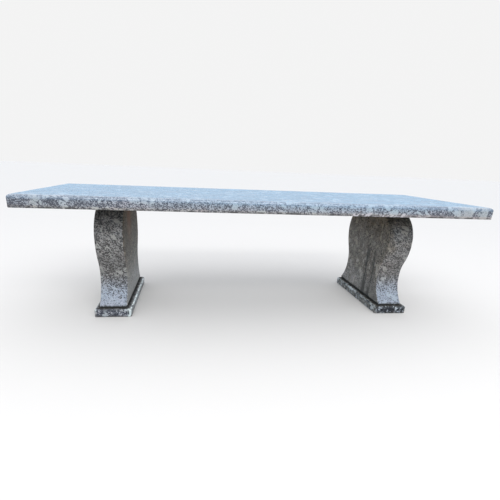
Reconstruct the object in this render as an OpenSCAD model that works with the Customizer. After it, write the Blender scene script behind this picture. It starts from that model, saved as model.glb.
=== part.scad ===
// Backless garden bench in polished granite.
// A thin seat slab is bedded in mortar on two vase-shaped pedestals, and each pedestal stands on a plinth.
// Dowels set in grout pin every joint.
// Millimetres, +X along the seat, +Y to the back, +Z up, origin on the ground under the middle of the seat.

/* [Seat] */
// Length of the seat slab, end to end
seat_length = 1610; // [1500:10:1800]
// Depth of the seat slab, front to back
seat_depth = 520; // [440:10:600]
// Thickness of the seat slab
seat_thickness = 40; // [38:1:60]
// Height of the seat's top face above the ground
seat_height = 440; // [430:5:460]
// Radius of the round along the seat's top edges
seat_edge = 10; // [2:1:16]

/* [Pedestals] */
// Distance from the middle of the seat to the middle of a pedestal
pedestal_offset = 544; // [500:1:580]
// Distance that the pedestals are set back from the middle of their plinths
pedestal_setback = 5; // [0:0.5:5]
// Thickness of a pedestal, along the seat
pedestal_thickness = 98; // [80:1:120]
// Half of the pedestal's depth at its foot
foot_half = 177; // [172:1:179]
// Half of the pedestal's depth at its waist
waist_half = 132; // [126:1:136]
// Height of the waist above the ground
waist_height = 138; // [132:1:144]
// Half of the pedestal's depth at its bulge
bulge_half = 169; // [164:1:172]
// Height of the bulge above the ground
bulge_height = 286; // [280:1:292]
// Half of the pedestal's depth at its top
top_half = 79; // [75:1:110]

/* [Plinths] */
// Width of a plinth, along the seat
plinth_width = 130; // [124:1:160]
// Depth of a plinth, front to back
plinth_depth = 369; // [369:1:420]
// Height of a plinth
plinth_height = 30; // [28:1:40]
// Radius of the round along the plinth's top edges
plinth_edge = 6; // [2:1:12]

/* [Joints] */
// Thickness of the mortar beds under the seat
seat_bed_thickness = 3; // [2:0.5:6]
// Thickness of the mortar beds under the pedestals
base_bed_thickness = 5; // [2:0.5:6]
// Distance from a pedestal's faces in to the edge of a bed
bed_setback = 4; // [2:1:8]
// Diameter of the dowels
dowel_diameter = 12; // [8:1:12]
// Diameter of the holes that the dowels are grouted into
dowel_hole = 16; // [14:1:20]
// Depth of the dowel holes in the pedestals
dowel_grip = 50; // [30:1:80]
// Thickness of stone left past the end of a dowel hole in the seat slab
seat_cover = 18; // [12:1:24]
// Thickness of stone left under a dowel hole in a plinth
plinth_cover = 12; // [10:1:16]
// Distance from the middle of a pedestal to a dowel under the seat
seat_dowel_y = 55; // [30:1:60]
// Distance from the middle of a pedestal to a dowel in its foot
base_dowel_y = 90; // [50:1:100]

/* [Hidden] */
$fn = 96;
over = 1; // how far a cutter runs past a face

left = -1;
right = 1;

seat_underside = seat_height - seat_thickness;
pedestal_base = plinth_height + base_bed_thickness;
pedestal_top = seat_underside - seat_bed_thickness;

// The radius of an arc that starts upright and has turned aside by run when it has climbed by rise
function arc_radius(run, rise) = (run * run + rise * rise) / (2 * run);

// The side outline is three arcs that meet at tangents. The waist is one concave arc from the foot up,
// the bulge swells out of it, and the shoulder closes over the bulge.
waist_radius = arc_radius(foot_half - waist_half, waist_height - pedestal_base);
waist_and_bulge = arc_radius(bulge_half - waist_half, bulge_height - waist_height);
bulge_radius = waist_and_bulge - waist_radius;
shoulder_radius = arc_radius(bulge_half - top_half, pedestal_top - bulge_height);
arcs_meet = round(waist_height + (bulge_height - waist_height) * waist_radius / waist_and_bulge);

// Heights of the ends of the dowels
seat_dowel_low = pedestal_top - dowel_grip;
seat_dowel_high = seat_height - seat_cover;
base_dowel_low = plinth_cover;
base_dowel_high = pedestal_base + dowel_grip;

// ---- Helpers ----

// Places its children at a plinth
module at_plinth(side) {
    translate([side * pedestal_offset, 0, 0]) children();
}

// Places its children at a pedestal, which is set a little back on its plinth
module at_pedestal(side) {
    at_plinth(side) translate([0, pedestal_setback, 0]) children();
}

// Extrudes an outline drawn in Y and Z along X, centred
module extrude_along_x(length) {
    rotate([90, 0, 90]) linear_extrude(length, center = true) children();
}

// Extrudes an outline drawn in X and Z along Y, centred
module extrude_along_y(length) {
    rotate([90, 0, 0]) linear_extrude(length, center = true) children();
}

// The upright section of a block, with a round of radius r on both top corners
module eased_outline(width, height, r) {
    translate([-width / 2, 0]) square([width, height - r]);
    translate([r - width / 2, 0]) square([width - 2 * r, height]);
    for (s = [-1, 1]) translate([s * (width / 2 - r), height - r]) circle(r);
}

// A block on z = 0 whose four top edges are rounded and mitred
module eased_block(length, depth, height, r) {
    intersection() {
        extrude_along_x(length) eased_outline(depth, height, r);
        extrude_along_y(depth) eased_outline(length, height, r);
    }
}

// A pair of upright rods, at y in front of and behind a pedestal's middle, from z = low to z = high
module upright_pair(y, low, high, diameter) {
    for (s = [-1, 1]) translate([0, s * y, low]) cylinder(h = high - low, d = diameter);
}

// ---- Stones ----

module seat_slab() {
    color("lightsteelblue")
        difference() {
            translate([0, 0, seat_underside])
                eased_block(seat_length, seat_depth, seat_thickness, seat_edge);
            for (side = [left, right])
                at_pedestal(side)
                    upright_pair(seat_dowel_y, seat_underside - over, seat_dowel_high, dowel_hole);
        }
}

// The stretch of half outline between two heights whose face is an arc about the height of the bulge
module half_round(low, high, radius) {
    centre = bulge_half - radius; // may lie past the middle plane, and then the circle fills the stretch
    translate([0, low]) square([max(centre, 1), high - low]);
    intersection() {
        translate([0, low]) square([bulge_half, high - low]);
        translate([centre, bulge_height]) circle(radius);
    }
}

// Half of the side outline, from the middle plane out to the face
module half_outline() {
    // the foot and waist, up to where the arcs meet
    difference() {
        translate([0, pedestal_base]) square([foot_half, arcs_meet - pedestal_base]);
        translate([waist_half + waist_radius, waist_height]) circle(waist_radius);
    }
    // the underside of the bulge
    half_round(arcs_meet, bulge_height, bulge_radius);
    // the shoulder
    half_round(bulge_height, pedestal_top, shoulder_radius);
}

module pedestal(side) {
    color("gray")
        at_pedestal(side)
            difference() {
                extrude_along_x(pedestal_thickness) {
                    half_outline();
                    mirror([1, 0]) half_outline();
                }
                upright_pair(seat_dowel_y, seat_dowel_low, pedestal_top + over, dowel_hole);
                upright_pair(base_dowel_y, pedestal_base - over, base_dowel_high, dowel_hole);
            }
}

module plinth(side) {
    color("slategray")
        difference() {
            at_plinth(side) eased_block(plinth_width, plinth_depth, plinth_height, plinth_edge);
            at_pedestal(side) upright_pair(base_dowel_y, base_dowel_low, plinth_height + over, dowel_hole);
        }
}

// ---- Joints ----

// A mortar bed at a pedestal's end, with holes where the grouted dowels pass
module bed(side, half, z, thickness, dowel_y) {
    color("rosybrown")
        at_pedestal(side)
            difference() {
                translate([bed_setback - pedestal_thickness / 2, bed_setback - half, z])
                    cube([pedestal_thickness - 2 * bed_setback, 2 * (half - bed_setback), thickness]);
                upright_pair(dowel_y, z - over, z + thickness + over, dowel_hole);
            }
}

// A pair of dowels
module dowels(side, y, low, high) {
    color("silver")
        at_pedestal(side) upright_pair(y, low, high, dowel_diameter);
}

// The sleeves of grout round a pair of dowels
module dowel_grout(side, y, low, high) {
    color("darkgray")
        at_pedestal(side)
            difference() {
                upright_pair(y, low, high, dowel_hole);
                upright_pair(y, low - over, high + over, dowel_diameter);
            }
}

// ---- Nodes ----

seat_slab();

pedestal(left);  // left_pedestal
plinth(left);  // left_plinth
bed(left, top_half, pedestal_top, seat_bed_thickness, seat_dowel_y);  // left_seat_bed
bed(left, foot_half, plinth_height, base_bed_thickness, base_dowel_y);  // left_base_bed
dowels(left, seat_dowel_y, seat_dowel_low, seat_dowel_high);  // left_seat_dowels
dowel_grout(left, seat_dowel_y, seat_dowel_low, seat_dowel_high);  // left_seat_dowel_grout
dowels(left, base_dowel_y, base_dowel_low, base_dowel_high);  // left_base_dowels
dowel_grout(left, base_dowel_y, base_dowel_low, base_dowel_high);  // left_base_dowel_grout

pedestal(right);  // right_pedestal
plinth(right);  // right_plinth
bed(right, top_half, pedestal_top, seat_bed_thickness, seat_dowel_y);  // right_seat_bed
bed(right, foot_half, plinth_height, base_bed_thickness, base_dowel_y);  // right_base_bed
dowels(right, seat_dowel_y, seat_dowel_low, seat_dowel_high);  // right_seat_dowels
dowel_grout(right, seat_dowel_y, seat_dowel_low, seat_dowel_high);  // right_seat_dowel_grout
dowels(right, base_dowel_y, base_dowel_low, base_dowel_high);  // right_base_dowels
dowel_grout(right, base_dowel_y, base_dowel_low, base_dowel_high);  // right_base_dowel_grout
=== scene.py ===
import math
import random

import bmesh
import bpy
from mathutils import Matrix, Vector


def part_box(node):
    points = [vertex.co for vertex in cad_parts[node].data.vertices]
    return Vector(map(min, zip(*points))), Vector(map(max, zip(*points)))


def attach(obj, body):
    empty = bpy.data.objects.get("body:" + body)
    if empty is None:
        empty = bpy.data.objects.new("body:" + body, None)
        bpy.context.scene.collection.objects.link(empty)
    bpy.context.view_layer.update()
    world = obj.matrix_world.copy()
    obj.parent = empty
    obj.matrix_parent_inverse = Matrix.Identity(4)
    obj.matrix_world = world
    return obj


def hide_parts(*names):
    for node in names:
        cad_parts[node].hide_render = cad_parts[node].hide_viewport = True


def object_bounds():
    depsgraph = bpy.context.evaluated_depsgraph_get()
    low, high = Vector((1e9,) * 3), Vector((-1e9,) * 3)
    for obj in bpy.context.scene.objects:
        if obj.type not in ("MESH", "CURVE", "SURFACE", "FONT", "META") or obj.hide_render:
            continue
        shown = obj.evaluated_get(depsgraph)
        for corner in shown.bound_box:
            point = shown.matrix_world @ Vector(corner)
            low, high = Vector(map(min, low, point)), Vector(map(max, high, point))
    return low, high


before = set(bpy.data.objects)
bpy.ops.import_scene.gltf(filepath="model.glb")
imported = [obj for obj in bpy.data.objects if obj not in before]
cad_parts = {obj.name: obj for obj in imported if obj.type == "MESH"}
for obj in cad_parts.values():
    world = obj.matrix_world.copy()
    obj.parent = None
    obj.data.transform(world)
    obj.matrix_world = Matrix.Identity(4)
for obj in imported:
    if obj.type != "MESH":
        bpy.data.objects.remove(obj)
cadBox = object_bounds()
print("frame loaded with", len(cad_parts), "nodes")

millimetre = 0.001
sides = ("left", "right")


# camera, a little above the seat and a little left of the bench's middle

camera = {
    "place": (-0.2661, -1.3186, 0.5504),
    "turn": 7.458,  # degrees to the right of straight ahead
    "tilt": 18.513,  # degrees down
    "roll": 2.503,
    "lens": 23.65,
    "sensor": 36,
    "shift": (0.0394, 0.0482),
}


def makeCamera():
    turn, tilt, roll = (math.radians(camera[key]) for key in ("turn", "tilt", "roll"))
    forward = Vector((math.sin(turn) * math.cos(tilt), math.cos(turn) * math.cos(tilt), -math.sin(tilt)))
    level = Vector((math.cos(turn), -math.sin(turn), 0))
    up = level.cross(forward)
    right = math.cos(roll) * level + math.sin(roll) * up
    upright = math.cos(roll) * up - math.sin(roll) * level
    bpy.ops.object.camera_add()
    eye = bpy.context.object
    facing = Matrix((right, upright, -forward)).transposed()
    eye.matrix_world = Matrix.Translation(camera["place"]) @ facing.to_4x4()
    eye.data.sensor_width = camera["sensor"]
    eye.data.lens = camera["lens"]
    eye.data.shift_x, eye.data.shift_y = camera["shift"]
    eye.data.clip_start = 0.01
    bpy.context.scene.camera = eye


makeCamera()
print("camera placed")


# helpers for working in edit mode

def onlySelect(piece):
    bpy.ops.object.select_all(action="DESELECT")
    piece.select_set(True)
    bpy.context.view_layer.objects.active = piece


def startEdit(piece, mode):
    onlySelect(piece)
    bpy.ops.object.mode_set(mode="EDIT")
    bpy.ops.mesh.select_mode(type=mode)


def endEdit():
    bpy.ops.mesh.select_all(action="SELECT")
    bpy.ops.mesh.remove_doubles(threshold=1e-6)
    bpy.ops.mesh.normals_make_consistent(inside=False)
    bpy.ops.object.mode_set(mode="OBJECT")


def pickEdges(piece, wanted):
    # wanted is asked about the two ends of each edge
    mesh = bmesh.from_edit_mesh(piece.data)
    bpy.ops.mesh.select_all(action="DESELECT")
    for edge in mesh.edges:
        if wanted(edge.verts[0].co, edge.verts[1].co):
            edge.select_set(True)
    bmesh.update_edit_mesh(piece.data)


def pickPoints(piece, wanted):
    mesh = bmesh.from_edit_mesh(piece.data)
    bpy.ops.mesh.select_all(action="DESELECT")
    for point in mesh.verts:
        if wanted(point.co):
            point.select_set(True)
    mesh.select_flush(True)
    bmesh.update_edit_mesh(piece.data)


def near(a, b):
    return abs(a - b) < 1e-5


def applyModifier(piece, kind, **settings):
    onlySelect(piece)
    modifier = piece.modifiers.new(kind.title(), kind)
    for key, value in settings.items():
        setattr(modifier, key, value)
    bpy.ops.object.modifier_apply(modifier=modifier.name)


def applyPlace(piece):
    onlySelect(piece)
    bpy.ops.object.transform_apply(location=True, rotation=True, scale=True)


def joinAll(pieces):
    onlySelect(pieces[0])
    for piece in pieces:
        piece.select_set(True)
    bpy.ops.object.join()
    return bpy.context.object


def cutAway(piece, cutter):
    applyModifier(piece, "BOOLEAN", object=cutter, operation="DIFFERENCE", solver="EXACT")
    bpy.data.objects.remove(cutter)


# a dressed block: a gridded sheet drawn upwards in steps, its rim rounded over at the top

def rimProfile(height, cell, shape):
    # heights and insets from the foot up: a small arris, the flat, then the round
    flat = height - shape["rim"] - shape["arris"]
    flatSteps = max(1, round(flat / cell))
    rows = [(0, shape["arris"])]
    rows += [(shape["arris"] + flat * step / flatSteps, 0) for step in range(flatSteps + 1)]
    for step in range(1, shape["rimSteps"] + 1):
        angle = math.pi / 2 * step / shape["rimSteps"]
        rise = height - shape["rim"] * (1 - math.sin(angle))
        rows.append((rise, shape["rim"] * (1 - math.cos(angle))))
    return rows


def makeBlock(name, low, high, shape):
    size = high - low
    middle = (low + high) / 2
    rows = rimProfile(size.z, shape["cell"], shape)
    columns = [max(2, round(size[axis] / shape["cell"])) for axis in (0, 1)]
    bpy.ops.object.select_all(action="DESELECT")
    bpy.ops.mesh.primitive_grid_add(
        x_subdivisions=columns[0], y_subdivisions=columns[1], size=1, location=(middle.x, middle.y, low.z)
    )
    block = bpy.context.object
    block.name = name
    block.scale = (size.x - 2 * shape["arris"], size.y - 2 * shape["arris"], 1)
    applyPlace(block)
    startEdit(block, "FACE")
    bpy.ops.mesh.select_all(action="SELECT")
    for (height, inset), (nextHeight, nextInset) in zip(rows, rows[1:]):
        bpy.ops.mesh.extrude_region_move(TRANSFORM_OT_translate={"value": (0, 0, nextHeight - height)})
        grow = [(size[axis] - 2 * nextInset) / (size[axis] - 2 * inset) for axis in (0, 1)]
        bpy.ops.transform.resize(value=(grow[0], grow[1], 1), center_override=middle)

    # the four upright corners, round the rim too
    def onCorner(p):
        inset = min(rows, key=lambda row: abs(low.z + row[0] - p.z))[1]
        return near(abs(p.x - middle.x), size.x / 2 - inset) and near(abs(p.y - middle.y), size.y / 2 - inset)

    pickEdges(block, lambda a, b: not near(a.z, b.z) and onCorner(a) and onCorner(b))
    bpy.ops.mesh.bevel(offset=shape["corner"], segments=3, affect="EDGES")
    endEdit()
    return block


# worn stone is never quite true, so each stone gets a shallow wave and small knocks along its arrises

def addWaves(piece, size, depth):
    waves = bpy.data.textures.new(piece.name + "Waves", "CLOUDS")
    waves.noise_scale = size
    waves.noise_depth = 3
    applyModifier(
        piece, "DISPLACE", texture=waves, strength=depth, mid_level=0.5, texture_coords="LOCAL",
        direction="NORMAL",
    )


chip = {
    "tilt": 0.35,  # radians, either way
    "rough": (0.8, 1.15),
    "stretch": (1, 2.2),  # along the arris
}


def makeChips(spots, dice):
    # each spot is a place, how far the chip reaches in from it, and how far it runs along X and Y
    chips = []
    for place, reach, run in spots:
        bpy.ops.object.select_all(action="DESELECT")
        bpy.ops.mesh.primitive_ico_sphere_add(subdivisions=2, radius=1, location=place)
        flake = bpy.context.object
        flake.scale = (max(run[0], reach), max(run[1], reach), reach)
        flake.rotation_euler = [dice.uniform(-chip["tilt"], chip["tilt"]) for axis in range(3)]
        applyPlace(flake)
        for point in flake.data.vertices:
            offset = point.co - Vector(place)
            point.co = Vector(place) + offset * dice.uniform(*chip["rough"])
        chips.append(flake)
    return joinAll(chips)


def alongEdge(start, end, count, sizes, dice):
    # spots spread along an arris without touching each other
    run = Vector(end) - Vector(start)
    spots = []
    for index in range(count):
        place = Vector(start) + run * (index + dice.uniform(0.25, 0.75)) / count
        stretch = dice.uniform(*chip["stretch"])
        reach = dice.uniform(*sizes)
        spots.append((place, reach, [reach * (stretch if abs(part) > 0 else 1) for part in run.xy]))
    return spots


holeSlack = 0.05 * millimetre  # how far a dowel hole's wall and ends stand off its grout


def drill(piece, groutNode):
    # a hole for each grouted dowel of the pair
    low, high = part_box(groutNode)
    radius = (high.x - low.x) / 2
    drills = []
    for y in (low.y + radius, high.y - radius):
        bpy.ops.object.select_all(action="DESELECT")
        bpy.ops.mesh.primitive_cylinder_add(
            vertices=48, radius=radius + holeSlack, depth=high.z - low.z + 2 * holeSlack,
            location=((low.x + high.x) / 2, y, (low.z + high.z) / 2),
        )
        applyPlace(bpy.context.object)
        drills.append(bpy.context.object)
    cutAway(piece, joinAll(drills))


def finishStone(piece, node, angle=40):
    onlySelect(piece)
    bpy.ops.object.shade_smooth_by_angle(angle=math.radians(angle))
    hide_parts(node)
    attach(piece, "root")


# seat slab

seat = {
    "cell": 10 * millimetre,
    "rim": 10 * millimetre,
    "rimSteps": 8,
    "arris": 1.2 * millimetre,
    "corner": 2.5 * millimetre,
    "waveSize": 0.11,
    "waveDepth": 0.7 * millimetre,
    "chips": 40,
    "chipSizes": (1.2 * millimetre, 3.4 * millimetre),
    "breaks": (0.265, 0.485),  # stretch of the lower front arris with pinkish breaks
    "breakChips": 7,
    "breakChipSizes": (4 * millimetre, 8 * millimetre),
}


def isBroken(place, low):
    start, end = seat["breaks"]
    margin = 10 * millimetre
    return near(place[1], low.y) and start - margin < place[0] < end + margin


def makeSeat():
    low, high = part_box("seat_slab")
    slab = makeBlock("seatSlab", low, high, seat)
    addWaves(slab, seat["waveSize"], seat["waveDepth"])
    dice = random.Random(7)
    spots = []
    for y, level, count in ((low.y, low.z, seat["chips"]), (high.y, low.z, seat["chips"] // 2)):
        spots += alongEdge((low.x, y, level), (high.x, y, level), count, seat["chipSizes"], dice)
    spots = [spot for spot in spots if not isBroken(spot[0], low)]
    start, end = seat["breaks"]
    spots += alongEdge(
        (start, low.y, low.z), (end, low.y, low.z), seat["breakChips"], seat["breakChipSizes"], dice
    )
    cutAway(slab, makeChips(spots, dice))
    for side in sides:
        drill(slab, side + "_seat_dowel_grout")
    finishStone(slab, "seat_slab")
    return slab


slab = makeSeat()
print("seat slab", len(slab.data.polygons), "faces")


# pedestals

pedestal = {
    "sideSteps": 15,  # faces across a side, from front to back
    "faceSteps": 12,  # faces across the front
    "arcSteps": (17, 7, 12),  # faces up the foot and waist, the underside of the bulge, the shoulder
    "waist": (132 * millimetre, 138 * millimetre),  # half depth and height at the waist
    "bulge": (169 * millimetre, 286 * millimetre),
    "top": 79 * millimetre,
    "arris": 4 * millimetre,
    "waveSize": 0.07,
    "waveDepth": 1.2 * millimetre,
    "chips": 26,
    "chipSizes": (1.5 * millimetre, 3.6 * millimetre),
}


def arcFrom(run, rise):
    # angle and radius of an arc that starts upright and has turned aside by run when it has climbed by rise
    radius = (run * run + rise * rise) / (2 * run)
    return math.asin(rise / radius), radius


def makePedestal(side):
    low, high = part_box(side + "_pedestal")
    middle = (low + high) / 2
    footHalf = (high.y - low.y) / 2
    waistHalf, waistHeight = pedestal["waist"]
    bulgeHalf, bulgeHeight = pedestal["bulge"]
    footAngle, waistRadius = arcFrom(footHalf - waistHalf, waistHeight - low.z)
    meetAngle, bothRadii = arcFrom(bulgeHalf - waistHalf, bulgeHeight - waistHeight)
    shoulderAngle, shoulderRadius = arcFrom(bulgeHalf - pedestal["top"], high.z - bulgeHeight)
    bulgeRadius = bothRadii - waistRadius
    arcs = (
        (waistHalf + waistRadius, waistHeight, footAngle + meetAngle),
        (bulgeHalf - bulgeRadius, bulgeHeight, -meetAngle),
        (bulgeHalf - shoulderRadius, bulgeHeight, -shoulderAngle),
    )

    # the front face: an edge along X at the foot, spun up about each arc's centre in turn
    bpy.ops.object.select_all(action="DESELECT")
    bpy.ops.mesh.primitive_grid_add(x_subdivisions=pedestal["faceSteps"], y_subdivisions=1, size=1)
    stone = bpy.context.object
    stone.name = side + "Pedestal"
    stone.scale = (high.x - low.x, footHalf, 1)
    stone.location = (middle.x, -footHalf / 2, low.z)
    applyPlace(stone)
    startEdit(stone, "VERT")
    pickPoints(stone, lambda p: not near(p.y, -footHalf))
    bpy.ops.mesh.delete(type="VERT")
    bpy.ops.mesh.select_all(action="SELECT")
    for (y, z, angle), steps in zip(arcs, pedestal["arcSteps"]):
        bpy.ops.mesh.spin(steps=steps, angle=-angle, center=(middle.x, -y, z), axis=(1, 0, 0))
    endEdit()

    # the back face is its mirror image, and the sides, top and foot close the stone
    applyModifier(stone, "MIRROR", use_axis=(False, True, False), use_mirror_merge=False)
    startEdit(stone, "EDGE")
    for x in (low.x, high.x):
        pickEdges(stone, lambda a, b: near(a.x, x) and near(b.x, x))
        bpy.ops.mesh.bridge_edge_loops(number_cuts=pedestal["sideSteps"] - 1, interpolation="LINEAR")
    for z in (low.z, high.z):
        pickEdges(stone, lambda a, b: near(a.z, z) and near(b.z, z))
        bpy.ops.mesh.edge_face_add()
    bpy.ops.mesh.select_all(action="SELECT")
    bpy.ops.mesh.normals_make_consistent(inside=False)
    bpy.ops.transform.translate(value=(0, middle.y, 0))
    bpy.ops.mesh.select_all(action="DESELECT")
    bpy.ops.mesh.edges_select_sharp(sharpness=math.radians(50))
    arrisPoints = [p.co.copy() for p in bmesh.from_edit_mesh(stone.data).verts if p.select]
    bpy.ops.mesh.bevel(offset=pedestal["arris"], segments=3, affect="EDGES")
    endEdit()

    addWaves(stone, pedestal["waveSize"], pedestal["waveDepth"])
    dice = random.Random(side)
    chosen = dice.sample(arrisPoints, pedestal["chips"])
    spots = [(place, dice.uniform(*pedestal["chipSizes"]), (0, 0)) for place in chosen]
    cutAway(stone, makeChips(spots, dice))
    drill(stone, side + "_seat_dowel_grout")
    drill(stone, side + "_base_dowel_grout")
    finishStone(stone, side + "_pedestal")
    return stone


pedestals = {side: makePedestal(side) for side in sides}
print("pedestals", [len(stone.data.polygons) for stone in pedestals.values()], "faces")


# plinths

plinth = {
    "cell": 9 * millimetre,
    "rim": 6 * millimetre,
    "rimSteps": 5,
    "arris": 1.5 * millimetre,
    "corner": 3.5 * millimetre,
    "waveSize": 0.05,
    "waveDepth": 1.4 * millimetre,
    "sideChips": 9,  # along each long arris
    "frontChips": 4,
    "chipSizes": (1.4 * millimetre, 3.2 * millimetre),
}


def makePlinth(side):
    low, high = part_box(side + "_plinth")
    stone = makeBlock(side + "Plinth", low, high, plinth)
    addWaves(stone, plinth["waveSize"], plinth["waveDepth"])
    dice = random.Random(side + "plinth")
    spots = []
    for level in (low.z, high.z):
        for x in (low.x, high.x):
            start, end = (x, low.y, level), (x, high.y, level)
            spots += alongEdge(start, end, plinth["sideChips"], plinth["chipSizes"], dice)
        start, end = (low.x, low.y, level), (high.x, low.y, level)
        spots += alongEdge(start, end, plinth["frontChips"], plinth["chipSizes"], dice)
    cutAway(stone, makeChips(spots, dice))
    drill(stone, side + "_base_dowel_grout")
    finishStone(stone, side + "_plinth")
    return stone


plinths = {side: makePlinth(side) for side in sides}
print("plinths", [len(stone.data.polygons) for stone in plinths.values()], "faces")


# mortar beds: the mortar stands a little proud of the joint in places and falls short in others

bed = {
    "cell": 4 * millimetre,
    "bulge": 1.2 * millimetre,
    "wander": 5 * millimetre,
    "wanderSize": 0.018,
}


def makeBed(side, joint, level):
    low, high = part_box(side + joint)
    size = high - low
    middle = (low + high) / 2
    bpy.ops.object.select_all(action="DESELECT")
    bpy.ops.mesh.primitive_grid_add(
        x_subdivisions=round(size.x / bed["cell"]), y_subdivisions=round(size.y / bed["cell"]), size=1,
        location=(middle.x, middle.y, low.z),
    )
    mortar = bpy.context.object
    mortar.name = side + "".join(word.title() for word in joint.split("_"))
    mortar.scale = (size.x, size.y, 1)
    applyPlace(mortar)
    startEdit(mortar, "FACE")
    bpy.ops.mesh.select_all(action="SELECT")
    for swell in (bed["bulge"], -bed["bulge"]):
        bpy.ops.mesh.extrude_region_move(TRANSFORM_OT_translate={"value": (0, 0, size.z / 2)})
        grow = [1 + 2 * swell / size[axis] for axis in (0, 1)]
        bpy.ops.transform.resize(value=(grow[0], grow[1], 1), center_override=middle)
    endEdit()
    rim = mortar.vertex_groups.new(name="rim")
    reach = bed["cell"] / 2
    rimPoints = [
        p.index for p in mortar.data.vertices
        if abs(p.co.x - middle.x) > size.x / 2 - reach or abs(p.co.y - middle.y) > size.y / 2 - reach
    ]
    rim.add(rimPoints, 1, "REPLACE")
    wander = bpy.data.textures.new(mortar.name + "Wander", "CLOUDS")
    wander.noise_scale = bed["wanderSize"]
    applyModifier(
        mortar, "DISPLACE", texture=wander, strength=bed["wander"], mid_level=0.5, texture_coords="LOCAL",
        direction="NORMAL", vertex_group="rim",
    )
    for point in mortar.data.vertices:
        point.co.z = min(max(point.co.z, low.z), high.z)
    drill(mortar, side + level)
    finishStone(mortar, side + joint, angle=60)
    return mortar


seatBeds = {side: makeBed(side, "_seat_bed", "_seat_dowel_grout") for side in sides}
baseBeds = {side: makeBed(side, "_base_bed", "_base_dowel_grout") for side in sides}
allBeds = (*seatBeds.values(), *baseBeds.values())
print("mortar beds", [len(mortar.data.polygons) for mortar in allBeds], "faces")


# materials: a Signal is one socket of a recipe, and Python's sums on signals add Math nodes

class Signal:
    def __init__(self, recipe, socket):
        self.recipe = recipe
        self.socket = socket

    def work(self, operation, first, second=0.0):
        return self.recipe.add("Math", {"operation": operation}, {0: first, 1: second})

    def other(self, output):
        # another output of the same node
        return Signal(self.recipe, self.socket.node.outputs[output])

    def larger(self, value):
        return self.work("MAXIMUM", self, value)

    def __add__(self, value):
        return self.work("ADD", self, value)

    def __sub__(self, value):
        return self.work("SUBTRACT", self, value)

    def __rsub__(self, value):
        return self.work("SUBTRACT", value, self)

    def __mul__(self, value):
        return self.work("MULTIPLY", self, value)

    def __lt__(self, value):
        return self.work("LESS_THAN", self, value)

    def __abs__(self):
        return self.work("ABSOLUTE", self)

    __radd__ = __add__
    __rmul__ = __mul__


class Recipe:
    # the nodes of one material, or of the sky
    def __init__(self, owner, coordinates="Object"):
        owner.use_nodes = True
        self.owner = owner
        self.tree = owner.node_tree
        self.place = self.add("TexCoord", output=coordinates)

    def add(self, kind, settings=None, inputs=None, output=0):
        # every node comes from here
        node = self.tree.nodes.new("ShaderNode" + kind)
        for key, value in (settings or {}).items():
            setattr(node, key, value)
        for key, value in (inputs or {}).items():
            self.feed(node.inputs[key], value)
        return Signal(self, node.outputs[output])

    def feed(self, socket, value):
        if isinstance(value, Signal):
            self.tree.links.new(value.socket, socket)
        elif socket.type == "RGBA":
            socket.default_value = (*value, 1)
        else:
            socket.default_value = value

    def mix(self, factor, first, second, blend="MIX"):
        settings = {"data_type": "RGBA", "blend_type": blend}
        return self.add("Mix", settings, {0: factor, 6: first, 7: second}, output=2)

    def ramp(self, signal, start, end):
        # 0 before start, 1 past end, and smooth between them; start may be the larger
        settings = {"interpolation_type": "SMOOTHSTEP"}
        return self.add("MapRange", settings, {"Value": signal, "From Min": start, "From Max": end})

    def moved(self, place, shift=(0, 0, 0), turn=(0, 0, 0), stretch=(1, 1, 1)):
        # turned first, then drawn out along the turned axes
        inputs = {"Vector": place, "Location": shift, "Rotation": turn, "Scale": stretch}
        return self.add("Mapping", {"vector_type": "TEXTURE"}, inputs)

    def noise(self, place, size, detail=2.0, output=0):
        return self.add("TexNoise", None, {"Vector": place, "Scale": 1 / size, "Detail": detail}, output)

    def cells(self, place, size, feature="F1", output=0):
        return self.add("TexVoronoi", {"feature": feature}, {"Vector": place, "Scale": 1 / size}, output)

    def split(self, colour):
        # the red of a colour; other(1) is its green and other(2) its blue
        return self.add("SeparateColor", None, {0: colour})

    def bent(self, place, size, amount):
        # pushed about by a noise, up to half of amount either way
        push = self.noise(place, size, output=1)
        push = self.add("VectorMath", {"operation": "SUBTRACT"}, {0: push, 1: (0.5,) * 3})
        settings = {"operation": "MULTIPLY_ADD"}
        return self.add("VectorMath", settings, {0: push, 1: (amount,) * 3, 2: place})

    def bump(self, height, depth, strength=1.0):
        return self.add("Bump", None, {"Strength": strength, "Distance": depth, "Height": height})

    def axes(self):
        split = self.add("SeparateXYZ", None, {0: self.place})
        return split, split.other(1), split.other(2)

    def cook(self, pieces, inputs):
        # finishes the material and gives it to the pieces
        shader = self.tree.nodes["Principled BSDF"]
        for key, value in inputs.items():
            self.feed(shader.inputs[key], value)
        for piece in pieces:
            piece.data.materials.clear()
            piece.data.materials.append(self.owner)


def newRecipe(name):
    return Recipe(bpy.data.materials.new(name))


# granite: pale patches of feldspar, flecks of dark mica strung round them, grey quartz between

mineral = {
    "white": (0.38, 0.38, 0.40),
    "cool": (0.26, 0.28, 0.31),
    "blush": (0.39, 0.33, 0.35),
    "pale": (0.35, 0.38, 0.37),
    "quartz": (0.15, 0.16, 0.175),
    "mica": (0.032, 0.034, 0.046),
}


def flecks(recipe, place, size, chance, fill):
    # one fleck to a cell, in the share of cells that chance gives; fill is how far it spreads in its cell
    distance = recipe.cells(place, size)
    dice = recipe.split(distance.other(1))
    spread = recipe.ramp(distance - dice.other(1) * 0.2, fill, fill - 0.12)
    return spread * (dice < chance), dice


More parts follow.
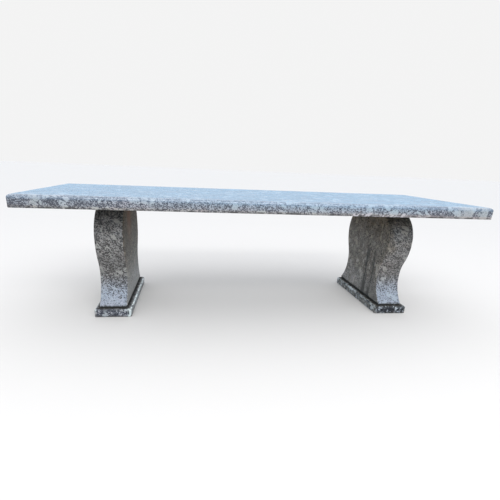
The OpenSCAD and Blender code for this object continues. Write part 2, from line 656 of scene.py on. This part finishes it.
def granite(recipe, look, share=1.0):
    # gives the stone's colour and where it is dark; share is how much of the usual mica there is
    # in a look, grain and patch are the sizes of a fleck and of a feldspar patch, paleShare is how many
    # patches are pale, dark is how many flecks are mica, and the mica clumps less where even is high
    mica = look.get("mica", mineral["mica"])
    white = look.get("white", mineral["white"])
    grain = look["grain"]
    size = look["patch"]
    even = look["even"]
    place = recipe.moved(recipe.place, look["shift"], look["turn"], look["stretch"])
    place = recipe.bent(place, grain * 1.6, grain)

    # the pale patches, and the borders that the mica follows
    broad = recipe.bent(place, size * 0.5, size * 0.8)
    edge = recipe.cells(broad, size, "DISTANCE_TO_EDGE")
    patch = recipe.split(recipe.cells(broad, size, output=1))
    border = recipe.ramp(edge, 0.24, 0.05)
    isPale = recipe.ramp(patch, look["paleShare"] + 0.05, look["paleShare"] - 0.05)
    isPale = isPale * recipe.ramp(edge, 0.04, 0.14)
    clump = recipe.ramp(recipe.noise(place, size * 0.8), 0.36, 0.62)
    chance = look["dark"] * (0.6 + 0.4 * border) * (even + (1.2 - even) * clump)
    chance = chance * (1 - 0.85 * isPale) * share
    dark, coarse = flecks(recipe, place, grain, chance, look["fill"])
    darkFine, fine = flecks(recipe, place, grain * 0.5, chance * 0.8, look["fill"])

    colour = recipe.mix(coarse.other(1), white, mineral["cool"])
    blush = recipe.ramp(recipe.noise(place, size * 2), 0.48, 0.66)
    colour = recipe.mix(blush * look["blush"], colour, mineral["blush"])
    isQuartz = recipe.ramp(coarse.other(2), 0.58, 0.68)
    colour = recipe.mix(isQuartz * (1 - isPale) * 0.6, colour, mineral["quartz"])
    colour = recipe.mix(fine.other(1) * 0.3, colour, mineral["white"])
    colour = recipe.mix(isPale * 0.35, colour, mineral["pale"])
    colour = recipe.mix(darkFine * 0.7, colour, mica)
    colour = recipe.mix(dark * 0.95, colour, mica)
    return colour, dark


def relief(recipe, dark, size, depth):
    # mica wears a little below the rest, and the whole face is slightly pitted
    return recipe.bump(recipe.noise(recipe.place, size, 4.0) - dark * 0.5, depth)


seatLook = {
    "grain": 3.3 * millimetre,
    "patch": 26 * millimetre,
    "paleShare": 0.25,
    "dark": 0.57,
    "fill": 0.60,
    "even": 0.8,
    "mica": (0.040, 0.042, 0.056),
    "blush": 0.5,
    "shift": (0.31, 0.12, 0.07),
    "turn": (0, 0.4, 0),
    "stretch": (1.15, 1, 0.9),
}

# where the front differs from the rest; lengths are along X, from the middle
seatWearAndPaintedLight = {
    "bare": ((-0.729, 0.012), (0.700, 0.030), (0.765, 0.020)),  # places with little mica, and their reach
    "busy": ((-0.20, -0.70), (0.45, 0.60)),  # stretches over which the mica grows denser towards the ends
    # painted sky highlight on the rounded rim of the seat
    "rimSkyHighlightColour": (0.33, 0.43, 0.54),
    # painted sky reflection, bluer towards the top of the front
    "skyReflectionTint": (0.88, 1.06, 1.18),
    "dustColour": (0.20, 0.19, 0.17),
    # painted warm ground bounce on the lower front
    "warmBounceTint": (0.97, 0.90, 0.80),
    "pinkColour": (0.36, 0.30, 0.30),
    "pinkFrom": (0.25, 0.45),
    # dirt with painted shade along the lower arris
    "dirtAndShadeColour": (0.028, 0.026, 0.024),
    "breakFade": 20 * millimetre,
    # darker facets of the breaks: dirt and painted shade
    "breakDirtShadeColour": (0.06, 0.05, 0.05),
    "breakPale": (0.45, 0.42, 0.43),
}


def makeSeatGranite():
    recipe = newRecipe("seatGranite")
    x, y, z = recipe.axes()
    low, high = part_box("seat_slab")
    onFront = recipe.ramp(y, low.y + 12 * millimetre, low.y + 8 * millimetre)
    # the rounded rim, where a sky highlight is painted into the colour and the mica is thinned
    rim = recipe.ramp(abs(x), high.x - 13 * millimetre, high.x - 7 * millimetre)
    rim = rim.larger(recipe.ramp(abs(y), high.y - 13 * millimetre, high.y - 7 * millimetre))
    rim = rim * recipe.ramp(z, high.z - 15 * millimetre, high.z - 5 * millimetre)

    # the front has bare places, and is busier towards its ends
    veined = recipe.noise(recipe.place, 18 * millimetre, 3.0)
    bare = 0.0
    for place, reach in seatWearAndPaintedLight["bare"]:
        bare = bare + recipe.ramp(abs(x - place + (veined - 0.5) * 0.06), reach, reach * 0.6)
    bare = bare * recipe.ramp(y + veined * 0.04, low.y + 60 * millimetre, low.y + 30 * millimetre)
    busyLeft, busyRight = (recipe.ramp(x, *stretch) for stretch in seatWearAndPaintedLight["busy"])
    share = (1 - 0.1 * rim) * (1 - 0.8 * bare) * (1 + 0.6 * onFront * (busyLeft + busyRight))
    colour, dark = granite(recipe, seatLook, share)
    colour = recipe.mix(bare * 0.4, colour, mineral["pale"])
    # painted sky highlight along the rounded rim
    colour = recipe.mix(rim * 0.25, colour, seatWearAndPaintedLight["rimSkyHighlightColour"])

    # the front is bluer towards its top and its middle: a painted sky reflection
    paintedSkyBlue = onFront * recipe.ramp(z, low.z + 5 * millimetre, high.z - 12 * millimetre)
    paintedSkyBlue = paintedSkyBlue * (0.3 + 0.7 * recipe.ramp(x, -0.6, 0.0)) * (1 - 0.5 * recipe.ramp(x, 0.45, 0.75))
    colour = recipe.mix(paintedSkyBlue * 0.9 * (1 - bare * 0.7), colour, seatWearAndPaintedLight["skyReflectionTint"], "MULTIPLY")

    # the polish stops at the underside, which is sawn and dusty; dirt with painted shade sits under the lower
    # arris, and warm light bounced from the ground is painted on the lower front
    under = recipe.ramp(z, low.z + 1.5 * millimetre, low.z + 0.2 * millimetre)
    streaky = recipe.noise(recipe.moved(recipe.place, stretch=(3, 1, 1)), 9 * millimetre, 3.0)
    # dark dashes along the lower front arris: dirt, and painted shade in the chips
    dirtAndShade = recipe.ramp(z + streaky * 6 * millimetre, low.z + 11 * millimetre, low.z + 7 * millimetre)
    dirtAndShade = dirtAndShade * recipe.ramp(streaky, 0.50, 0.55)
    # painted warm light bounced from the ground, on the lower band of the front
    warmBounce = recipe.ramp(z + streaky * 8 * millimetre, low.z + 16 * millimetre, low.z + 9 * millimetre)
    warmBounce = warmBounce * onFront
    colour = recipe.mix(under * 0.5, colour, seatWearAndPaintedLight["dustColour"])
    colour = recipe.mix(warmBounce * 0.9, colour, seatWearAndPaintedLight["warmBounceTint"], "MULTIPLY")
    pink = warmBounce * recipe.ramp(x, *seatWearAndPaintedLight["pinkFrom"])
    colour = recipe.mix(pink * 0.3, colour, seatWearAndPaintedLight["pinkColour"])

    # pinkish breaks along the lower front arris, in front of the right pedestal; their darker facets are dirt
    # and painted shade
    start, end = seat["breaks"]
    fade = seatWearAndPaintedLight["breakFade"]
    slanted = recipe.moved(recipe.place, turn=(0, -0.7, 0), stretch=(2.4, 1, 0.8))
    ragged = (0.5 - recipe.noise(slanted, 9 * millimetre, 1.0)) * 50 * millimetre
    facet = recipe.split(recipe.cells(slanted, 6 * millimetre, output=1))
    breaks = recipe.ramp(x, start, start + fade) * recipe.ramp(x, end, end - fade)
    breaks = breaks * recipe.ramp(z + ragged, low.z + 10 * millimetre, low.z + 8 * millimetre)
    breaks = breaks * recipe.ramp(y, low.y + 20 * millimetre, low.y + 10 * millimetre)
    broken = recipe.mix(facet < 0.42, seatWearAndPaintedLight["breakPale"], seatWearAndPaintedLight["breakDirtShadeColour"])
    colour = recipe.mix(dirtAndShade * 0.9 * (1 - breaks), colour, seatWearAndPaintedLight["dirtAndShadeColour"])
    colour = recipe.mix(breaks * 0.8, colour, broken)

    haze = recipe.noise(recipe.moved(recipe.place, stretch=(3, 1, 1)), 40 * millimetre, 4.0)
    recipe.cook([slab], {
        "Base Color": colour,
        "Roughness": 0.12 + haze * 0.16 + under * 0.5 + breaks * 0.4,
        "Normal": relief(recipe, dark, 3 * millimetre, 0.05 * millimetre),
        "IOR": 1.62,
        "Coat Weight": rim * haze * 0.4,
        "Coat IOR": 1.8,
        "Coat Roughness": 0.3,
    })


makeSeatGranite()
print("seat granite mixed")


pedestalLook = {
    "grain": 3.4 * millimetre,
    "patch": 22 * millimetre,
    "paleShare": 0.22,
    "dark": 0.68,
    "fill": 0.62,
    "even": 0.65,
    "mica": (0.028, 0.027, 0.028),
    "blush": 0.3,
    "turn": (0, 0.6, 0),
    "stretch": (1.25, 1, 0.9),
}


# heights are above the ground, from none to full
pedestalWearAndPaintedLight = {
    "flare": (0.13, 0.06),  # where there is less mica, and painted sky light
    "flareSkyTint": (0.90, 1.01, 1.12),
    "seamHeight": 0.165,
    "seamColour": (0.05, 0.046, 0.042),
    # darker and browner above the flare: grime and painted shade
    "aged": (0.085, 0.16),
    "agedAndShadedTint": (0.80, 0.745, 0.66),
    # under the seat: brown grime and painted shade
    "sheltered": (0.25, 0.385),
    "shelteredGrimeShadeTint": (0.60, 0.51, 0.39),
    "shelteredShare": {"left": 0.5, "right": 0.9},
    # the sides darker and browner: painted shade under the seat, and brown stain
    "sideShadeStainTint": (0.90, 0.82, 0.70),
    "veilColour": (0.115, 0.103, 0.084),
    "veilShare": {"left": 0.7, "right": 1.0},
    "runTint": (0.50, 0.44, 0.36),
    # darker just above the base joint: grime and painted shade
    "jointGrimeShadeColour": (0.03, 0.031, 0.03),
}

# the left pedestal has a rust run down its inner side, which is darker above, from painted shade and a
# painted warm reflection, and paler below
leftWearAndPaintedShade = {
    "dark": (0.16, 0.28),
    "upperShadeTint": (0.72, 0.66, 0.56),
    "pale": (0.22, 0.08),
    "paleColour": (0.36, 0.35, 0.33),
    "rust": (0.20, 0.36),
    "rustPlace": -0.03,  # along Y
    "rustColour": (0.15, 0.075, 0.040),
}

# the right one has bare scales, two drip lines, a brown spill past its arris and a wet foot
rightWear = {
    "scales": (0.30, 0.22),
    "scaleColour": (0.38, 0.355, 0.32),
    "lines": ((-0.035, 0.016, 0.006), (-0.085, 0.012, 0.004)),  # place along Y, reach of the edge and core
    "lineTop": (0.27, 0.20),
    "lineColour": (0.022, 0.021, 0.018),
    "spill": (0.20, 0.27),
    "spillTint": (0.62, 0.53, 0.42),
    "wet": (0.17, 0.06),
    "wetColour": (0.06, 0.056, 0.048),
}


def makePedestalGranite(side):
    low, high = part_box(side + "_pedestal")
    middle = (low + high) / 2
    half = (high.x - low.x) / 2
    inward = 1 if side == "left" else -1
    wearAndPaintedLight = pedestalWearAndPaintedLight
    recipe = newRecipe(side + "PedestalGranite")
    x, y, z = recipe.axes()
    inwards = (x - middle.x) * inward
    onSide = recipe.ramp(abs(x - middle.x), half - 2.5 * millimetre, half - 0.8 * millimetre)
    onInner = recipe.ramp(inwards, half - 2.5 * millimetre, half - 0.8 * millimetre)

    look = dict(pedestalLook, shift=(0.17 * inward, 0.4, 0.2 + 0.1 * inward))
    flare = recipe.ramp(z, *wearAndPaintedLight["flare"])
    colour, dark = granite(recipe, look, (1 - 0.72 * flare) * (1 - 0.3 * onSide))
    # painted blue sky light on the lower flare of the front and back
    colour = recipe.mix(flare * (1 - onSide) * 0.8, colour, wearAndPaintedLight["flareSkyTint"], "MULTIPLY")

    # dark seams slant across the waist of the front and back
    folded = recipe.bent(recipe.place, 0.03, 0.02)
    folded = recipe.moved(folded, turn=(0, 0.25 * inward, 0), stretch=(5, 1, 1))
    seams = recipe.ramp(recipe.noise(folded, 7 * millimetre, 2.0), 0.54, 0.62) * (1 - onSide)
    seams = seams * recipe.ramp(abs(z - wearAndPaintedLight["seamHeight"]), 0.055, 0.02)
    colour = recipe.mix(seams * 0.45, colour, wearAndPaintedLight["seamColour"])

    # weather: brown grime with painted shade above the flare and under the seat, veils and runs down the
    # sides
    runs = recipe.noise(recipe.moved(recipe.place, stretch=(1, 1, 9)), 11 * millimetre, 3.0)
    veils = recipe.noise(recipe.moved(recipe.place, stretch=(1, 1.8, 1)), 10 * millimetre, 4.0)
    blotch = recipe.noise(recipe.place, 60 * millimetre, 3.0) - 0.5
    sheltered = recipe.ramp(z + blotch * 0.12, *wearAndPaintedLight["sheltered"])
    shelteredShare = sheltered * wearAndPaintedLight["shelteredShare"][side]
    veiled = onSide * recipe.ramp(veils, 0.50, 0.58) * 0.55 * wearAndPaintedLight["veilShare"][side]
    # darker and browner above the flare: grime and painted shade
    colour = recipe.mix(recipe.ramp(z + blotch * 0.05, *wearAndPaintedLight["aged"]), colour, wearAndPaintedLight["agedAndShadedTint"], "MULTIPLY")
    # brown grime and painted shade under the seat
    colour = recipe.mix(shelteredShare, colour, wearAndPaintedLight["shelteredGrimeShadeTint"], "MULTIPLY")
    # the sides darker and browner: painted shade under the seat, and brown stain
    colour = recipe.mix(onSide * 0.8, colour, wearAndPaintedLight["sideShadeStainTint"], "MULTIPLY")
    colour = recipe.mix(veiled, colour, wearAndPaintedLight["veilColour"])
    colour = recipe.mix(onSide * recipe.ramp(runs, 0.46, 0.60) * 0.35, colour, wearAndPaintedLight["runTint"], "MULTIPLY")
    if side == "left":
        rust = recipe.ramp(z, *leftWearAndPaintedShade["rust"]) * recipe.ramp(abs(y - leftWearAndPaintedShade["rustPlace"]), 0.07, 0.01)
        rust = rust * onInner * recipe.ramp(runs, 0.28, 0.45)
        # painted shade and a painted warm reflection on the upper sides
        paintedShadeAbove = onSide * recipe.ramp(z, *leftWearAndPaintedShade["dark"])
        paler = onSide * recipe.ramp(z, *leftWearAndPaintedShade["pale"]) * 0.4
        colour = recipe.mix(paintedShadeAbove, colour, leftWearAndPaintedShade["upperShadeTint"], "MULTIPLY")
        colour = recipe.mix(rust * 0.85, colour, leftWearAndPaintedShade["rustColour"])
        colour = recipe.mix(paler, colour, leftWearAndPaintedShade["paleColour"])
    else:
        scaly = recipe.moved(recipe.place, shift=(0, 0.1, 0), stretch=(1, 1, 1.2))
        scales = onSide * recipe.ramp(recipe.noise(scaly, 22 * millimetre, 3.0), 0.56, 0.64)
        scales = scales * recipe.ramp(z + blotch * 0.2, *rightWear["scales"])
        colour = recipe.mix(scales * 0.65, colour, rightWear["scaleColour"])
        lines = 0.0
        for place, edge, core in rightWear["lines"]:
            lines = lines + recipe.ramp(abs(y - place + (runs - 0.5) * 0.05), edge, core)
        lines = lines * onInner * recipe.ramp(z + (veils - 0.5) * 0.1, *rightWear["lineTop"])
        colour = recipe.mix(lines * 0.9, colour, rightWear["lineColour"])
        spill = recipe.ramp(inwards + blotch * 0.06, half - 0.035, half - 0.015)
        spill = spill * (1 - onSide) * recipe.ramp(z + (veils - 0.5) * 0.06, *rightWear["spill"])
        colour = recipe.mix(spill * 0.7, colour, rightWear["spillTint"], "MULTIPLY")
        wet = onInner * recipe.ramp(z + blotch * 0.1, *rightWear["wet"]) * recipe.ramp(y, 0.05, -0.03)
        colour = recipe.mix(wet * 0.5, colour, rightWear["wetColour"])
    # darker just above the base joint: grime and painted shade
    jointGrimeShade = recipe.ramp(z + (runs - 0.5) * 0.02, low.z + 7 * millimetre, low.z + 1 * millimetre)
    colour = recipe.mix(jointGrimeShade * 0.8, colour, wearAndPaintedLight["jointGrimeShadeColour"])
    recipe.cook([pedestals[side]], {
        "Base Color": colour,
        "Roughness": 0.42 + sheltered * 0.25 + onSide * 0.3,
        "Normal": relief(recipe, dark, 4 * millimetre, 0.25 * millimetre),
    })


for side in sides:
    makePedestalGranite(side)
print("pedestal granite mixed")


plinthLooks = {
    "left": {
        "grain": 5 * millimetre,
        "patch": 20 * millimetre,
        "paleShare": 0.3,
        "dark": 0.85,
        "fill": 0.8,
        "even": 0.6,
        "blush": 0.0,
        "shift": (0.5, 0.1, 0.3),
        "turn": (0, 0, 0.4),
        "stretch": (1, 1, 1),
    },
    "right": {
        "grain": 11 * millimetre,
        "patch": 22 * millimetre,
        "paleShare": 0.3,
        "dark": 0.95,
        "fill": 1.1,
        "even": 0.9,
        "blush": 0.0,
        "mica": (0.010, 0.011, 0.015),
        "white": (0.53, 0.58, 0.62),
        "shift": (0.14, 0.7, 0.2),
        "turn": (0, 0, 0.2),
        "stretch": (1, 1, 1),
    },
}


plinthWearAndPaintedLight = {
    "ledgeColour": (0.09, 0.083, 0.068),
    "packedDirtShadeColour": (0.035, 0.032, 0.027),  # dirt packed into the joint round the pedestal, with painted shade in the corner
    "footColour": (0.07, 0.066, 0.055),
    "sideColour": {"left": (0.42, 0.41, 0.38), "right": (0.30, 0.29, 0.26)},
    # the top arris: wear with a painted highlight
    "wornHighlightShare": {"left": 1.0, "right": 0.6},
    "wornHighlightColour": (0.55, 0.59, 0.57),
    "highlightShare": {"left": 1.0, "right": 0.0},
    "highlightColour": (0.84, 0.88, 0.85),
    "knockedHighlightColour": (0.58, 0.63, 0.61),  # the left plinth's inner front corner, a knock with a painted highlight
    "knockedDark": (0.03, 0.04, 0.035),
}


def makePlinthGranite(side):
    low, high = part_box(side + "_plinth")
    stoneLow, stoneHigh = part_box(side + "_pedestal")
    middle = (low + high) / 2
    stoneMiddle = (stoneLow + stoneHigh) / 2
    half = (high.x - low.x) / 2
    wearAndPaintedLight = plinthWearAndPaintedLight
    recipe = newRecipe(side + "PlinthGranite")
    colour, dark = granite(recipe, plinthLooks[side])
    x, y, z = recipe.axes()
    soil = recipe.noise(recipe.place, 14 * millimetre, 4.0)

    # dirt on the ledge, and dirt with painted shade packed round the pedestal
    ledge = recipe.ramp(z, high.z - 1.2 * millimetre, high.z - 0.2 * millimetre)
    past = abs(x - stoneMiddle.x) - (stoneHigh.x - stoneMiddle.x)
    past = past.larger(abs(y - stoneMiddle.y) - (stoneHigh.y - stoneMiddle.y))
    packedDirtShade = recipe.ramp(past + (soil - 0.5) * 0.02, 8 * millimetre, 3 * millimetre)
    colour = recipe.mix(ledge * recipe.ramp(soil, 0.40, 0.55) * 0.5, colour, wearAndPaintedLight["ledgeColour"])
    # dirt and painted shade in the corner round the pedestal
    colour = recipe.mix(ledge * packedDirtShade * 0.9, colour, wearAndPaintedLight["packedDirtShadeColour"])

    # soiled sides, darker towards the foot, and an arris that is worn and has a painted highlight
    foot = recipe.ramp(z + (soil - 0.5) * 0.02, low.z + (high.z - low.z) * 0.30, low.z)
    arris = recipe.ramp(z, high.z - 11 * millimetre, high.z - 6 * millimetre) * (1 - ledge)
    onSide = recipe.ramp(abs(x - middle.x), half - 9 * millimetre, half - 5 * millimetre)
    soiled = onSide * (1 - arris) * recipe.ramp(soil, 0.3, 0.6) * 0.5
    colour = recipe.mix(soiled, colour, wearAndPaintedLight["sideColour"][side])
    colour = recipe.mix(foot * (0.6 - 0.35 * onSide), colour, wearAndPaintedLight["footColour"])
    # wear and a painted highlight along the top arris, brightest on the inner half of the left plinth
    wornAndHighlight = arris * (0.15 + 0.85 * onSide) * recipe.ramp(soil, 0.62, 0.42) * wearAndPaintedLight["wornHighlightShare"][side]
    paintedHighlight = recipe.ramp(x, middle.x, middle.x + 20 * millimetre) * wearAndPaintedLight["highlightShare"][side]
    colour = recipe.mix(wornAndHighlight, colour, recipe.mix(paintedHighlight, wearAndPaintedLight["wornHighlightColour"], wearAndPaintedLight["highlightColour"]))
    if side == "left":
        knocked = recipe.ramp(x, high.x - 16 * millimetre, high.x - 8 * millimetre)
        knocked = knocked * recipe.ramp(y, low.y + 16 * millimetre, low.y + 6 * millimetre)
        # painted highlight on the knocked corner
        colour = recipe.mix(knocked * recipe.ramp(soil, 0.42, 0.50), colour, wearAndPaintedLight["knockedHighlightColour"])
        colour = recipe.mix(knocked * recipe.ramp(soil, 0.44, 0.38) * 0.8, colour, wearAndPaintedLight["knockedDark"])
    recipe.cook([plinths[side]], {
        "Base Color": colour,
        "Roughness": 0.40 + soil * 0.3 + ledge * 0.3,
        "Specular IOR Level": 0.25,
        "Normal": relief(recipe, dark, 5 * millimetre, 0.3 * millimetre),
    })


for side in sides:
    makePlinthGranite(side)
print("plinth granite mixed")


mortarLook = {
    "sand": 1.6 * millimetre,
    "seat": ((0.30, 0.26, 0.23), (0.06, 0.055, 0.045), 0.48),  # clean, soiled, and how much of it is soiled
    # the base joint's mortar is darker: grime, and painted shade of the recessed joint
    "base": ((0.16, 0.15, 0.13), (0.025, 0.025, 0.022), 0.30),
}


def makeMortar(end, pieces):
    clean, soiled, soilShare = mortarLook[end]
    recipe = newRecipe(end + "Mortar")
    grain = recipe.split(recipe.cells(recipe.place, mortarLook["sand"], output=1))
    colour = recipe.mix(grain, clean, tuple(part * 0.6 for part in clean))
    soil = recipe.noise(recipe.place, 16 * millimetre, 4.0)
    colour = recipe.mix(recipe.ramp(soil, soilShare + 0.08, soilShare - 0.08), soiled, colour)
    height = recipe.noise(recipe.place, 2.5 * millimetre, 5.0) + grain.other(1) * 0.3
    recipe.cook(pieces, {
        "Base Color": colour,
        "Roughness": 0.85 + grain.other(2) * 0.1,
        "Normal": recipe.bump(height, 0.6 * millimetre),
    })


makeMortar("seat", seatBeds.values())
makeMortar("base", baseBeds.values())
print("mortar mixed")


dowelLook = {
    "steel": (0.62, 0.62, 0.63),
    "smut": (0.40, 0.38, 0.35),
    "grout": (0.42, 0.42, 0.40),
    "groutPale": (0.56, 0.56, 0.53),
    "pore": (0.18, 0.18, 0.17),
    "poreSize": 2.2 * millimetre,
}


def makeDowelSteel(pieces):
    recipe = newRecipe("dowelSteel")
    drawn = recipe.noise(recipe.moved(recipe.place, stretch=(1, 1, 50)), 0.5 * millimetre, 3.0)
    smut = recipe.ramp(recipe.noise(recipe.place, 9 * millimetre, 3.0), 0.5, 0.75)
    recipe.cook(pieces, {
        "Base Color": recipe.mix(smut * 0.5, dowelLook["steel"], dowelLook["smut"]),
        "Metallic": 1.0,
        "Roughness": 0.24 + drawn * 0.2,
        "Normal": recipe.bump(drawn, 0.05 * millimetre, 0.5),
    })


def makeGrout(pieces):
    recipe = newRecipe("dowelGrout")
    cloud = recipe.noise(recipe.place, 7 * millimetre, 4.0)
    pores = recipe.ramp(recipe.cells(recipe.place, dowelLook["poreSize"]), 0.16, 0.10)
    colour = recipe.mix(cloud, dowelLook["grout"], dowelLook["groutPale"])
    recipe.cook(pieces, {
        "Base Color": recipe.mix(pores * 0.7, colour, dowelLook["pore"]),
        "Roughness": 0.80 + cloud * 0.15,
        "Normal": recipe.bump(cloud * 0.4 - pores, 0.3 * millimetre),
    })


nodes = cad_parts
makeDowelSteel([nodes[f"{side}_{end}_dowels"] for side in sides for end in ("seat", "base")])
makeGrout([nodes[f"{side}_{end}_dowel_grout"] for side in sides for end in ("seat", "base")])
print("dowel steel and grout mixed")


# studio: a wide pale floor under a soft, faintly blue sky

studio = {
    "floorSize": 60,
    "floorColour": (0.70, 0.68, 0.65),
    "floorDrop": 0.5 * millimetre,  # how far the floor lies under the bench
    "horizon": (0.47, 0.835, 1.20),
    "zenith": (1.30, 1.32, 1.38),
    "bandTop": 0.45,  # how far up the blue of the horizon reaches, as the sine of its height
    "behind": (0.90, 0.90, 0.90),  # what the camera sees past the floor
    "keyPower": 34,
    "keyPlace": (0.1, -2.3, 2.4),
    "keySize": (3.2, 0.6),
}


def makeFloor():
    bpy.ops.object.select_all(action="DESELECT")
    level = cadBox[0].z - studio["floorDrop"]
    bpy.ops.mesh.primitive_plane_add(size=studio["floorSize"], location=(0, 0, level))
    floor = bpy.context.object
    floor.name = "studioFloor"
    applyPlace(floor)
    recipe = newRecipe("studioFloor")
    recipe.cook([floor], {"Base Color": studio["floorColour"], "Roughness": 0.9})


def makeSky():
    world = bpy.data.worlds.new("studioSky")
    bpy.context.scene.world = world
    recipe = Recipe(world, "Generated")
    climb = recipe.ramp(recipe.axes()[2], 0, studio["bandTop"])
    sky = recipe.mix(climb, studio["horizon"], studio["zenith"])
    seen = recipe.add("LightPath", output="Is Camera Ray")
    background = recipe.tree.nodes["Background"]
    recipe.feed(background.inputs["Color"], recipe.mix(seen, sky, studio["behind"]))
    recipe.feed(background.inputs["Strength"], 1)


def makeKey():
    bpy.ops.object.select_all(action="DESELECT")
    bpy.ops.object.light_add(type="AREA", location=studio["keyPlace"])
    key = bpy.context.object
    key.data.energy = studio["keyPower"]
    key.data.shape = "RECTANGLE"
    key.data.size, key.data.size_y = studio["keySize"]
    key.rotation_euler = (-Vector(studio["keyPlace"])).to_track_quat("-Z", "Y").to_euler()


makeFloor()
makeSky()
makeKey()
bpy.context.scene.view_settings.view_transform = "Standard"
print("studio ready")
